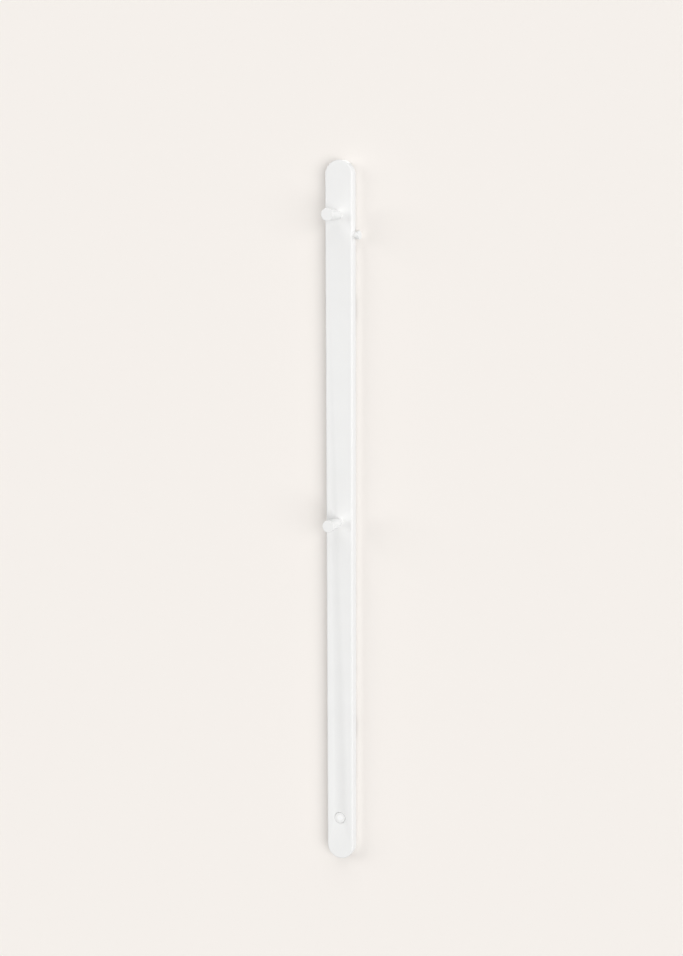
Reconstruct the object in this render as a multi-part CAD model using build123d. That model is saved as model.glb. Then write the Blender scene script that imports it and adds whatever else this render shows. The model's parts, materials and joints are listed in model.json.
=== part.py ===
from build123d import *
import os

# Heated towel bar, hung on a wall. Millimetres.
# The wall is the plane y = 0, the bar stands out towards -y, and z is up.
# The origin is the centre of the four wall screws, which is also the bar's mid height.
# "Depth" is measured from the bar's front face back towards the wall.

# The bar
BAR_HEIGHT = 1500.0
BAR_WIDTH = 60.0
BAR_DEPTH = 20.0
WALL_GAP = 4.0
SHELL_WALL = 1.8
FRONT_EDGE_RADIUS = 3.5
BACK_REBATE = 0.9

# Pegs
PEG_LENGTH = 60.0
PEG_ROOT_RADIUS = 8.2
PEG_HEAD_RADIUS = 13.1
PEG_RIM_RADIUS = 1.2
UPPER_PEG_Z = 639.0
MIDDLE_PEG_Z = 0.0
SIDE_PEG_Z = 598.0
SIDE_PEG_LENGTH = 14.0
SIDE_PEG_ROOT_RADIUS = 6.2
SIDE_PEG_HEAD_RADIUS = 9.3
SIDE_PEG_RIM_RADIUS = 0.9
PEG_SCREW_RADIUS = 3.0
SIDE_SCREW_RADIUS = 2.5
BACKING_WIDTH = 26.0
BACKING_HEIGHT = 36.0
BACKING_THICKNESS = 3.0

# Push button
BUTTON_Z = -656.6
BUTTON_RADIUS = 12.1
BUTTON_GAP = 0.6
BUTTON_PROUD = 0.6
BUTTON_TRAVEL = 1.2
LENS_RADIUS = 7.0
FLANGE_RADIUS = 13.5
GUIDE_RADIUS = 13.9
HOUSING_RADIUS = 16.0
HOUSING_EAR_X = 19.5
SPRING_RADIUS = 6.0
SPRING_WIRE_RADIUS = 0.4
SPRING_HALF_TURNS = 7
STEM_RADIUS = 2.0
STEM_END = 9.7
LENS_SEAT = 1.0
CAP_FLOOR = 2.4
FLANGE_NEAR = 2.3
FLANGE_FAR = 3.5
SKIRT_END = 5.2
EAR_NEAR = 6.0
EAR_FAR = 7.6
HOUSING_FLOOR = 8.1
HOUSING_END = 9.6
SWITCH_FRONT = 11.2
PLUNGER_RADIUS = 1.7
PLUNGER_BACK = 12.7

# Fits and general sizes
SCREW_CLEARANCE = 0.05
PLATE_SCREW_RADIUS = 1.5
SMALL_SCREW_RADIUS = 1.25
EARTH_SCREW_RADIUS = 2.0
PLATE_THICKNESS = 1.5
CLOSING_SCREW_X = 25.2
CLOSING_SCREW_ROWS = (-690.0, -230.0, 230.0, 690.0)
CLOSING_BOSS_RADIUS = 3.3

# Heating loop
SPREADER_HALF_WIDTH = 21.4
SPREADER_THICKNESS = 1.2
SPREADER_BOTTOM = -530.0
CABLE_RADIUS = 1.6
CABLE_RUN_X = 18.0
CABLE_BOTTOM = -536.0
CABLE_TURN_Z = 700.0
CLIP_COUNT = 9
CLIP_HEIGHT = 8.0
CLIP_METAL = 0.5
INSULATION_BOTTOM = -410.0
INSULATION_NEAR = 9.9
COLD_JOINT_RADIUS = 2.2
COLD_JOINT_LENGTH = 30.0
SENSOR_Z = -448.0
CUTOUT_Z = -490.0

# Control board
BOARD_WIDTH = 42.0
BOARD_BOTTOM = -716.0
BOARD_TOP = -598.0
BOARD_DEPTH = 14.4
BOARD_THICKNESS = 1.6
LED_X = 9.5
TALL_PARTS_Z = -622.0
RELAY_X = -11.0
RELAY_FRONT = 3.8
SUPPLY_X = 10.2
SUPPLY_FRONT = 4.6
CAPACITOR_X = -11.0
CAPACITOR_RADIUS = 4.0
CAPACITOR_BOTTOM = -701.0
FUSE_X = 11.0
FUSE_DEPTH = 11.0
FUSE_RADIUS = 2.3
FUSE_CAP_RADIUS = 2.6
FUSE_BOTTOM = -702.0
CONNECTOR_FRONT = 5.4
CONNECTOR_HEIGHT = 7.0
LEAD_DEPTH = 11.0
LEAD_RADIUS = 1.0
CONNECTOR_POLES = (-10.5, -3.5, 3.5, 10.5)

# Mains connection
TERMINAL_Z = -540.0
WINDOW_WIDTH = 40.0
WINDOW_HEIGHT = 56.0
COVER_WIDTH = 46.0
COVER_HEIGHT = 76.0
COVER_THICKNESS = 1.2
COVER_SCREW_OFFSET = 33.5
GROMMET_Z = TERMINAL_Z - 14.0
GROMMET_BORE_RADIUS = 4.0
GROMMET_NECK_RADIUS = 6.3
GROMMET_LIP_RADIUS = 8.2
TRAY_DEPTH = 7.0
TRAY_METAL = 1.0
TERMINAL_PITCH = 7.0
TERMINAL_BACK = 17.4
EARTH_PLACE = (TERMINAL_PITCH, -470.0)
EARTH_TAG_METAL = 0.8
EARTH_BARREL_RADIUS = 1.5

# Wall brackets
BRACKET_SPACING = 900.0
BRACKET_WIDTH = 52.0
BRACKET_HEIGHT = 46.0
BRACKET_METAL = 2.0
WALL_SCREW_SPACING = 34.0
WALL_SCREW_HOLE_RADIUS = 2.75
HOOK_WIDTH = 18.0
HOOK_SEAT = 4.0
HOOK_LIP = 8.0
HOOK_LIP_Y = -7.6
HOOK_SLOT_DROP = 13.0

# Values that follow from the ones above
FRONT_Y = -(BAR_DEPTH + WALL_GAP)
SIDE_X = BAR_WIDTH / 2
END_RADIUS = BAR_WIDTH / 2
PLATE_DEPTH = BAR_DEPTH - PLATE_THICKNESS
SPREADER_BACK = SHELL_WALL + SPREADER_THICKNESS
CABLE_DEPTH = SPREADER_BACK + CABLE_RADIUS
LOOP_END = CABLE_BOTTOM - COLD_JOINT_LENGTH
COVER_BACK = BAR_DEPTH + COVER_THICKNESS
BOARD_BACK = BOARD_DEPTH + BOARD_THICKNESS
EARTH_BARREL_DEPTH = PLATE_DEPTH - 1.6
BRACKET_HEIGHTS = (BRACKET_SPACING / 2, -BRACKET_SPACING / 2)


def face_plane(depth):
    """A plane parallel to the front face: local x is x, local y is z, and it looks out of the wall."""
    return Plane(origin=(0, FRONT_Y + depth, 0), x_dir=(1, 0, 0), z_dir=(0, -1, 0))


def slab(outline, near, far):
    """An outline drawn on the front face, solid from one depth to a greater one."""
    return extrude(face_plane(far) * outline, far - near)


def disc(x, z, radius, near, far):
    """A round bar or hole square to the front face."""
    return slab(Pos(x, z) * Circle(radius), near, far)


def block(x, z, width, height, near, far, corner=0.0):
    """A box square to the front face, with its upright corners rounded."""
    outline = RectangleRounded(width, height, corner) if corner else Rectangle(width, height)
    return slab(Pos(x, z) * outline, near, far)


def turned(points, x, z):
    """A turned piece on an axis square to the front face, from (radius, depth) points."""
    plane = Plane(origin=(x, FRONT_Y, z), x_dir=(1, 0, 0), z_dir=(0, 0, 1))
    face = make_face(plane * Polyline(*points, close=True))
    return revolve(face, Axis((x, FRONT_Y, z), (0, 1, 0)))


def lengthwise(outline, low, high):
    """An outline of (x, depth) points, solid from one height to a greater one."""
    plane = Plane(origin=(0, FRONT_Y, low), x_dir=(1, 0, 0), z_dir=(0, 0, 1))
    return extrude(plane * outline, high - low)


def rod(x, depth, radius, low, high):
    """A round bar along z."""
    return lengthwise(Pos(x, depth) * Circle(radius), low, high)


def stadium(inset):
    """The bar's outline, a rectangle with half-round ends, moved in all round."""
    return SlotOverall(BAR_HEIGHT - 2 * inset, BAR_WIDTH - 2 * inset, rotation=90)


def group(shapes):
    """Several loose solids that share one name."""
    return Compound([s for shape in shapes for s in shape.solids()])


def front_edges(shape, depth):
    """The edges that lie in one plane parallel to the front face."""
    y = FRONT_Y + depth
    return shape.edges().filter_by_position(Axis.Y, y - 0.01, y + 0.01)


def pan_screw(x, z, seat, head_radius, head_height, shank_radius, tip):
    """A pan-head screw: its head stands towards the wall on a seat, its shank runs to the front."""
    top = seat + head_height
    rim = seat + 0.4 * head_height
    points = [
        (0, top),
        (0.7 * head_radius, top),
        (head_radius, rim),
        (head_radius, seat),
        (shank_radius, seat),
        (shank_radius, tip + 0.5),
        (shank_radius - 0.5, tip),
        (0, tip),
    ]
    socket = slab(Pos(x, z) * RegularPolygon(0.45 * head_radius, 6), rim, top)
    return turned(points, x, z) - socket


def lead(points, radius):
    """An insulated wire along straight runs and tangent arcs, through (x, depth, z) points."""
    corners = [Vector(x, FRONT_Y + depth, z) for x, depth, z in points]
    path = Polyline(*corners) if len(corners) == 2 else FilletPolyline(*corners, radius=10 * radius)
    return sweep(Plane(origin=path @ 0, z_dir=path % 0) * Circle(radius), path=path)


def closing_screw_places():
    return [(side * CLOSING_SCREW_X, z) for z in CLOSING_SCREW_ROWS for side in (-1, 1)]


def body_shell():
    """The visible bar: one aluminium tray, open at the back, with a rounded front edge."""
    outer = slab(stadium(0), 0, BAR_DEPTH)
    outer = fillet(front_edges(outer, 0), FRONT_EDGE_RADIUS)
    cavity = slab(stadium(SHELL_WALL), SHELL_WALL, BAR_DEPTH)
    cavity = fillet(front_edges(cavity, SHELL_WALL), FRONT_EDGE_RADIUS - SHELL_WALL)
    shell = outer - cavity - slab(stadium(BACK_REBATE), PLATE_DEPTH, BAR_DEPTH)
    for x, z in closing_screw_places():
        shell += disc(x, z, CLOSING_BOSS_RADIUS, SHELL_WALL, PLATE_DEPTH)
        shell -= disc(x, z, PLATE_SCREW_RADIUS + SCREW_CLEARANCE, PLATE_DEPTH - 8, PLATE_DEPTH)
    for side in (-1, 1):
        shell += disc(side * HOUSING_EAR_X, BUTTON_Z, 2.8, SHELL_WALL, EAR_NEAR)
        shell -= disc(side * HOUSING_EAR_X, BUTTON_Z, SMALL_SCREW_RADIUS + SCREW_CLEARANCE, 2.6, EAR_NEAR)
    for z in (UPPER_PEG_Z, MIDDLE_PEG_Z):
        shell -= disc(0, z, PEG_SCREW_RADIUS + 0.2, 0, SHELL_WALL)
    hole = Cylinder(SIDE_SCREW_RADIUS + 0.2, 3 * SHELL_WALL, rotation=(0, 90, 0))
    shell -= Pos(SIDE_X - SHELL_WALL / 2, FRONT_Y + BAR_DEPTH / 2, SIDE_PEG_Z) * hole
    mouth = BUTTON_RADIUS + BUTTON_GAP
    opening = turned(
        [(0, -1), (mouth + 0.3, -1), (mouth + 0.3, 0), (mouth, 0.3), (mouth, SHELL_WALL), (0, SHELL_WALL)],
        0,
        BUTTON_Z,
    )
    return shell - opening


def back_plate():
    """The closing plate in the shell's rebate, with two hook slots and the wiring window."""
    plate = slab(stadium(BACK_REBATE + 0.15), PLATE_DEPTH, BAR_DEPTH)
    rim, hole = 2.9, 1.7
    sink_end = BAR_DEPTH + hole - rim
    sink = [(0, BAR_DEPTH), (rim, BAR_DEPTH), (hole, sink_end), (hole, PLATE_DEPTH), (0, PLATE_DEPTH)]
    for x, z in closing_screw_places():
        plate -= turned(sink, x, z)
    for z in BRACKET_HEIGHTS:
        top = z + HOOK_SEAT
        plate -= block(0, top - HOOK_SLOT_DROP / 2, HOOK_WIDTH + 3, HOOK_SLOT_DROP, PLATE_DEPTH, BAR_DEPTH)
    plate -= block(0, TERMINAL_Z, WINDOW_WIDTH, WINDOW_HEIGHT, PLATE_DEPTH, BAR_DEPTH, corner=3)
    for side in (-1, 1):
        z = TERMINAL_Z + side * COVER_SCREW_OFFSET
        plate -= disc(0, z, PLATE_SCREW_RADIUS + SCREW_CLEARANCE, PLATE_DEPTH, BAR_DEPTH)
    x, z = EARTH_PLACE
    return plate - disc(x, z, EARTH_SCREW_RADIUS + SCREW_CLEARANCE, PLATE_DEPTH, BAR_DEPTH)


def back_plate_screws():
    """Eight countersunk screws, flush with the back."""
    tip = PLATE_DEPTH - 7.5
    points = [
        (0, BAR_DEPTH),
        (2.9, BAR_DEPTH),
        (1.7, BAR_DEPTH - 1.2),
        (PLATE_SCREW_RADIUS, BAR_DEPTH - 1.4),
        (PLATE_SCREW_RADIUS, tip + 0.5),
        (PLATE_SCREW_RADIUS - 0.5, tip),
        (0, tip),
    ]
    return group(turned(points, x, z) for x, z in closing_screw_places())


def peg(z):
    """A turned peg on the front face: a straight flare from a narrow root to a flat head."""
    hole = PEG_SCREW_RADIUS + SCREW_CLEARANCE
    hole_depth = 16.0
    points = [
        (hole, 0),
        (PEG_ROOT_RADIUS, 0),
        (PEG_HEAD_RADIUS, -PEG_LENGTH),
        (0, -PEG_LENGTH),
        (0, -hole_depth - 2),
        (hole, -hole_depth),
    ]
    body = turned(points, 0, z)
    return fillet(front_edges(body, -PEG_LENGTH), PEG_RIM_RADIUS)


def side_peg():
    """The short peg on the bar's right edge, at mid depth, with the same flare and flat head."""
    hole = SIDE_SCREW_RADIUS + SCREW_CLEARANCE
    origin = (SIDE_X, FRONT_Y + BAR_DEPTH / 2, SIDE_PEG_Z)
    plane = Plane(origin=origin, x_dir=(1, 0, 0), z_dir=(0, -1, 0))
    hole_depth = 8.5
    points = [
        (0, hole),
        (0, SIDE_PEG_ROOT_RADIUS),
        (SIDE_PEG_LENGTH, SIDE_PEG_HEAD_RADIUS),
        (SIDE_PEG_LENGTH, 0),
        (hole_depth + 1.5, 0),
        (hole_depth, hole),
    ]
    body = revolve(make_face(plane * Polyline(*points, close=True)), Axis(origin, (1, 0, 0)))
    head = SIDE_X + SIDE_PEG_LENGTH
    rim = body.edges().filter_by_position(Axis.X, head - 0.01, head + 0.01)
    return fillet(rim, SIDE_PEG_RIM_RADIUS)


def peg_backing_plates():
    """Two steel plates that spread each front peg's load over the thin front wall."""
    plates = []
    for z in (UPPER_PEG_Z, MIDDLE_PEG_Z):
        back = SHELL_WALL + BACKING_THICKNESS
        plate = block(0, z, BACKING_WIDTH, BACKING_HEIGHT, SHELL_WALL, back, corner=2)
        plates.append(plate - disc(0, z, PEG_SCREW_RADIUS + 0.2, SHELL_WALL, back))
    return group(plates)


def peg_screw(z):
    """The screw that pulls a front peg against the face from inside."""
    seat = SHELL_WALL + BACKING_THICKNESS
    return pan_screw(0, z, seat, 5.5, 4.0, PEG_SCREW_RADIUS, -14.0)


def side_peg_screw():
    """The screw that holds the side peg, with its head inside the side wall."""
    seat = SIDE_X - SHELL_WALL
    origin = (seat, FRONT_Y + BAR_DEPTH / 2, SIDE_PEG_Z)
    plane = Plane(origin=origin, x_dir=(1, 0, 0), z_dir=(0, -1, 0))
    head_height, head_radius, length = 3.2, 4.4, 10.0
    points = [
        (-head_height, 0),
        (-head_height, 0.7 * head_radius),
        (-0.4 * head_height, head_radius),
        (0, head_radius),
        (0, SIDE_SCREW_RADIUS),
        (length - 0.5, SIDE_SCREW_RADIUS),
        (length, SIDE_SCREW_RADIUS - 0.5),
        (length, 0),
    ]
    return revolve(make_face(plane * Polyline(*points, close=True)), Axis(origin, (1, 0, 0)))


def heat_spreader():
    """The aluminium strip bonded inside the front face, cut out round the peg plates."""
    top = BAR_HEIGHT / 2 - END_RADIUS
    outline = Pos(0, (SPREADER_BOTTOM + top) / 2) * Rectangle(2 * SPREADER_HALF_WIDTH, top - SPREADER_BOTTOM)
    outline += Pos(0, top) * Circle(SPREADER_HALF_WIDTH)
    for z in (UPPER_PEG_Z, MIDDLE_PEG_Z):
        outline -= Pos(0, z) * RectangleRounded(BACKING_WIDTH + 2, BACKING_HEIGHT + 2, 3)
    return slab(outline, SHELL_WALL, SPREADER_BACK)


def heating_cable():
    """One loop of heating cable: up the right side, round the top and down the left."""
    y = FRONT_Y + CABLE_DEPTH
    x = CABLE_RUN_X
    path = Line((x, y, CABLE_BOTTOM), (x, y, CABLE_TURN_Z))
    path += ThreePointArc((x, y, CABLE_TURN_Z), (0, y, CABLE_TURN_Z + x), (-x, y, CABLE_TURN_Z))
    path += Line((-x, y, CABLE_TURN_Z), (-x, y, CABLE_BOTTOM))
    start = Plane(origin=(x, y, CABLE_BOTTOM), z_dir=(0, 0, 1))
    return sweep(start * Circle(CABLE_RADIUS), path=path)


def cable_clips():
    """Pressed clips that hold both runs of the cable down on the spreader."""
    inner = CABLE_RADIUS + 0.15
    outer = inner + CLIP_METAL
    seat = SPREADER_BACK
    step = (CABLE_TURN_Z - CABLE_BOTTOM) / CLIP_COUNT
    clips = []
    for side in (-1, 1):
        x = side * CABLE_RUN_X
        legs = Pos(x, seat + CABLE_RADIUS / 2)
        foot = Pos(x - side * (outer + 1.5), seat + CLIP_METAL / 2) * Rectangle(4.0, CLIP_METAL)
        arch = Pos(x, CABLE_DEPTH) * Circle(outer) + legs * Rectangle(2 * outer, CABLE_RADIUS) + foot
        arch -= Pos(x, CABLE_DEPTH) * Circle(inner) + legs * Rectangle(2 * inner, CABLE_RADIUS)
        arch -= Pos(x, seat - CABLE_RADIUS) * Rectangle(3 * outer, 2 * CABLE_RADIUS)
        for i in range(CLIP_COUNT):
            low = CABLE_BOTTOM + (i + 0.35) * step
            clips.append(lengthwise(arch, low, low + CLIP_HEIGHT))
    return group(clips)


def cold_joints():
    """The two crimped and sleeved joints at the cable's lower ends."""
    joints = []
    for side in (-1, 1):
        sleeve = rod(side * CABLE_RUN_X, CABLE_DEPTH, COLD_JOINT_RADIUS, LOOP_END, CABLE_BOTTOM)
        joints.append(chamfer(sleeve.edges().filter_by(GeomType.CIRCLE), 0.4))
    return group(joints)


def insulation_strip():
    """The foam strip that keeps the heat off the back plate, with a window for the upper hook."""
    half = SPREADER_HALF_WIDTH
    top = BAR_HEIGHT / 2 - END_RADIUS
    outline = Pos(0, (INSULATION_BOTTOM + top) / 2) * Rectangle(2 * half, top - INSULATION_BOTTOM)
    outline += Pos(0, top) * Circle(half)
    hook = BRACKET_HEIGHTS[0] + HOOK_SEAT
    outline -= Pos(0, hook - 2) * RectangleRounded(HOOK_WIDTH + 8, 34, 4)
    return slab(outline, INSULATION_NEAR, PLATE_DEPTH)


def button_cap():
    """The push button: a rounded rim round a pocket for the lens, a retaining flange and a stem."""
    shoulder = 0.7
    pocket = LENS_RADIUS + 0.05
    skirt = BUTTON_RADIUS - 1.5
    points = [
        (pocket, -BUTTON_PROUD),
        (BUTTON_RADIUS, -BUTTON_PROUD),
        (BUTTON_RADIUS, FLANGE_NEAR),
        (FLANGE_RADIUS, FLANGE_NEAR),
        (FLANGE_RADIUS, FLANGE_FAR),
        (BUTTON_RADIUS, FLANGE_FAR),
        (BUTTON_RADIUS, SKIRT_END),
        (skirt, SKIRT_END),
        (skirt, CAP_FLOOR),
        (STEM_RADIUS, CAP_FLOOR),
        (STEM_RADIUS, STEM_END),
        (0, STEM_END),
        (0, LENS_SEAT),
        (pocket, LENS_SEAT),
    ]
    cap = turned(points, 0, BUTTON_Z)
    outer_rim = front_edges(cap, -BUTTON_PROUD).sort_by(SortBy.LENGTH)[-1]
    cap = fillet(outer_rim, shoulder)
    light_hole_circle, light_hole_radius = 4.8, 0.7
    for place in PolarLocations(light_hole_circle, 6):
        x, z = place.position.X, place.position.Y
        cap -= disc(x, BUTTON_Z + z, light_hole_radius, LENS_SEAT - 0.5, CAP_FLOOR + 0.6)
    return cap


def button_lens():
    """The opal disc in the middle of the button, slightly domed, with a small centre dimple."""
    dome = 0.35
    dimple = 0.7
    rim = -BUTTON_PROUD - 0.1
    plane = Plane(origin=(0, FRONT_Y, BUTTON_Z), x_dir=(1, 0, 0), z_dir=(0, 0, 1))
    top = (dimple, rim - dome)
    edge = ThreePointArc(top, (LENS_RADIUS * 0.6, rim - 0.62 * dome), (LENS_RADIUS, rim))
    sides = Polyline((LENS_RADIUS, rim), (LENS_RADIUS, LENS_SEAT), (0, LENS_SEAT), (0, rim), top)
    face = make_face(plane * (edge + sides))
    return revolve(face, Axis((0, FRONT_Y, BUTTON_Z), (0, 1, 0)))


def button_housing():
    """The guide behind the button: a ring for the flange, a floor for the spring and a stem bush."""
    screw_hole = SMALL_SCREW_RADIUS + SCREW_CLEARANCE
    light_hole = 1.7
    housing = disc(0, BUTTON_Z, HOUSING_RADIUS, SHELL_WALL, HOUSING_END)
    ears = SlotCenterToCenter(2 * HOUSING_EAR_X, 5.6)
    housing += slab(Pos(0, BUTTON_Z) * ears, EAR_NEAR, EAR_FAR)
    housing -= disc(0, BUTTON_Z, GUIDE_RADIUS, SHELL_WALL, HOUSING_FLOOR)
    housing -= disc(0, BUTTON_Z, STEM_RADIUS + 0.2, HOUSING_FLOOR, HOUSING_END)
    for side in (-1, 1):
        housing -= disc(side * LED_X, BUTTON_Z, light_hole, HOUSING_FLOOR, HOUSING_END)
        housing -= disc(side * HOUSING_EAR_X, BUTTON_Z, screw_hole, EAR_NEAR, EAR_FAR)
    return housing


def button_housing_screws():
    places = [side * HOUSING_EAR_X for side in (-1, 1)]
    return group(pan_screw(x, BUTTON_Z, EAR_FAR, 2.3, 1.7, SMALL_SCREW_RADIUS, 2.8) for x in places)


def button_spring():
    """The return spring: one unbroken wire in half-turn arcs, each rising half a pitch."""
    low = CAP_FLOOR + SPRING_WIRE_RADIUS + 0.1
    high = HOUSING_FLOOR - SPRING_WIRE_RADIUS - 0.1
    rise = (high - low) / SPRING_HALF_TURNS
    path = None
    for i in range(SPRING_HALF_TURNS):
        side = 1 if i % 2 == 0 else -1
        points = []
        for x, z, part in ((side, 0, 0.0), (0, side, 0.5), (-side, 0, 1.0)):
            depth = low + (i + part) * rise
            points.append((x * SPRING_RADIUS, FRONT_Y + depth, BUTTON_Z + z * SPRING_RADIUS))
        arc = ThreePointArc(*points)
        path = arc if path is None else path + arc
    wire_end = Plane(origin=path @ 0, z_dir=path % 0)
    least_gap = 2 * rise - 2 * SPRING_WIRE_RADIUS
    print(f"button_spring: least gap between turns {least_gap:.2f} mm")
    return sweep(wire_end * Circle(SPRING_WIRE_RADIUS), path=path)


def switch_body():
    """The push switch on the board, with the plunger's bore in its top."""
    width, base_width, base_height = 8.0, 9.4, 0.9
    body = block(0, BUTTON_Z, width, width, SWITCH_FRONT, BOARD_DEPTH, corner=1)
    body += block(0, BUTTON_Z, base_width, base_width, BOARD_DEPTH - base_height, BOARD_DEPTH, corner=0.6)
    return body - disc(0, BUTTON_Z, PLUNGER_RADIUS + 0.2, SWITCH_FRONT, PLUNGER_BACK + BUTTON_TRAVEL + 0.1)


def switch_plunger():
    """The switch's plunger, just short of the button's stem."""
    crown = 0.4
    front = STEM_END + 0.15
    points = [
        (0, front),
        (PLUNGER_RADIUS - crown, front),
        (PLUNGER_RADIUS, front + crown),
        (PLUNGER_RADIUS, PLUNGER_BACK),
        (0, PLUNGER_BACK),
    ]
    return turned(points, 0, BUTTON_Z)


def standoff_places():
    x = BOARD_WIDTH / 2 - 3.5
    margin = 5.0
    return [(side * x, z) for z in (BOARD_BOTTOM + margin, BOARD_TOP - margin) for side in (-1, 1)]


def control_board():
    middle = (BOARD_BOTTOM + BOARD_TOP) / 2
    board = block(0, middle, BOARD_WIDTH, BOARD_TOP - BOARD_BOTTOM, BOARD_DEPTH, BOARD_BACK, corner=3)
    for x, z in standoff_places():
        board -= disc(x, z, SMALL_SCREW_RADIUS + 0.15, BOARD_DEPTH, BOARD_BACK)
    return board


def board_standoffs():
    pillars = []
    hole = SMALL_SCREW_RADIUS + SCREW_CLEARANCE
    for x, z in standoff_places():
        pillar = slab(Pos(x, z) * RegularPolygon(2.9, 6), SHELL_WALL, BOARD_DEPTH)
        pillars.append(pillar - disc(x, z, hole, BOARD_DEPTH - 6, BOARD_DEPTH))
    return group(pillars)


def board_screws():
    tip = BOARD_DEPTH - 5
    return group(pan_screw(x, z, BOARD_BACK, 2.4, 1.6, SMALL_SCREW_RADIUS, tip) for x, z in standoff_places())


def board_insulator():
    """The insulating sheet between the board and the back plate."""
    middle = (BOARD_BOTTOM + BOARD_TOP) / 2
    height = BOARD_TOP - BOARD_BOTTOM + 3
    return block(0, middle, BOARD_WIDTH + 1, height, PLATE_DEPTH - 0.4, PLATE_DEPTH, corner=3)


def power_relay():
    case = block(RELAY_X, TALL_PARTS_Z, 17, 24, RELAY_FRONT, BOARD_DEPTH, corner=0.8)
    return chamfer(front_edges(case, RELAY_FRONT), 0.6)


def power_supply():
    """The potted supply module, with the shallow recess of its case in front."""
    case = block(SUPPLY_X, TALL_PARTS_Z, 18, 24, SUPPLY_FRONT, BOARD_DEPTH, corner=0.5)
    return case - block(SUPPLY_X, TALL_PARTS_Z, 14, 20, SUPPLY_FRONT, SUPPLY_FRONT + 0.4, corner=1)


def smoothing_capacitor():
    """An electrolytic can, laid flat, with its rolled groove near one end."""
    depth = BOARD_DEPTH - CAPACITOR_RADIUS
    can = rod(CAPACITOR_X, depth, CAPACITOR_RADIUS, CAPACITOR_BOTTOM, CAPACITOR_BOTTOM + 16)
    low, high = CAPACITOR_BOTTOM + 12, CAPACITOR_BOTTOM + 13.2
    groove = rod(CAPACITOR_X, depth, CAPACITOR_RADIUS, low, high)
    groove -= rod(CAPACITOR_X, depth, CAPACITOR_RADIUS - 0.4, low, high)
    return can - groove


def board_fuse():
    length, cap = 20.0, 5.0
    tube = rod(FUSE_X, FUSE_DEPTH, FUSE_RADIUS, FUSE_BOTTOM, FUSE_BOTTOM + length)
    for low in (FUSE_BOTTOM, FUSE_BOTTOM + length - cap):
        tube += rod(FUSE_X, FUSE_DEPTH, FUSE_CAP_RADIUS, low, low + cap)
    return tube


def fuse_clips():
    """Two sprung forks that hold the fuse's caps."""
    width, height = 6.6, 4.2
    fork = Pos(FUSE_X, BOARD_DEPTH - height / 2) * Rectangle(width, height)
    fork -= Pos(FUSE_X, FUSE_DEPTH) * Circle(FUSE_CAP_RADIUS)
    fork -= Pos(FUSE_X, FUSE_DEPTH - 0.6) * Rectangle(width - 1.2, 1.4)
    return group(lengthwise(fork, low, low + 3) for low in (FUSE_BOTTOM + 1, FUSE_BOTTOM + 16))


def indicator_leds():
    leds = []
    for side in (-1, 1):
        x = side * LED_X
        base = block(x, BUTTON_Z, 3.2, 2.8, BOARD_DEPTH - 1, BOARD_DEPTH, corner=0.3)
        leds.append(base + disc(x, BUTTON_Z, 1.1, BOARD_DEPTH - 1.6, BOARD_DEPTH - 1))
    return group(leds)


def board_connector():
    """The four-way push-in connector on the board's upper edge, with its wire holes upwards."""
    top = BOARD_TOP - 1
    middle = top - CONNECTOR_HEIGHT / 2
    body = block(0, middle, 27, CONNECTOR_HEIGHT, CONNECTOR_FRONT, BOARD_DEPTH, corner=0.5)
    for x in CONNECTOR_POLES:
        body -= rod(x, LEAD_DEPTH, LEAD_RADIUS + 0.15, top - 5, top)
        body -= block(x, middle, 3, 3, CONNECTOR_FRONT, CONNECTOR_FRONT + 1.2)
    return body


def temperature_sensor():
    """A sensor bead in a ring lug that lies on the spreader."""
    lug_back = SPREADER_BACK + 0.8
    neck = SENSOR_Z - 7
    lug = slab(Pos(0, SENSOR_Z) * Circle(4) + Pos(0, neck) * Rectangle(4, 12), SPREADER_BACK, lug_back)
    lug -= disc(0, SENSOR_Z, 2.1, SPREADER_BACK, lug_back)
    bead = rod(0, SPREADER_BACK + 1.6, 1.5, neck - 13, neck)
    return lug + bead


def thermal_cutout():
    """The one-shot cut-out, a flat ceramic case on the spreader."""
    height = 3.2
    wire_reach = 14.0
    case = block(0, CUTOUT_Z, 7, 18, SPREADER_BACK, SPREADER_BACK + height, corner=0.6)
    return case + rod(0, SPREADER_BACK + height / 2, 0.6, CUTOUT_Z - wire_reach, CUTOUT_Z + wire_reach)


def cutout_clip():
    """A strap over the cut-out with one foot each side."""
    seat = SPREADER_BACK
    inner_width, inner_height, side_metal, top_metal = 7.3, 3.3, 0.5, 0.6
    outer_width, outer_height = inner_width + 2 * side_metal, inner_height + top_metal
    strap = Pos(0, seat + outer_height / 2) * Rectangle(outer_width, outer_height)
    strap -= Pos(0, seat + inner_height / 2) * Rectangle(inner_width, inner_height)
    for side in (-1, 1):
        strap += Pos(side * 6.0, seat + side_metal / 2) * Rectangle(4.2, side_metal)
    return lengthwise(strap, CUTOUT_Z - 3, CUTOUT_Z + 3)


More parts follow.
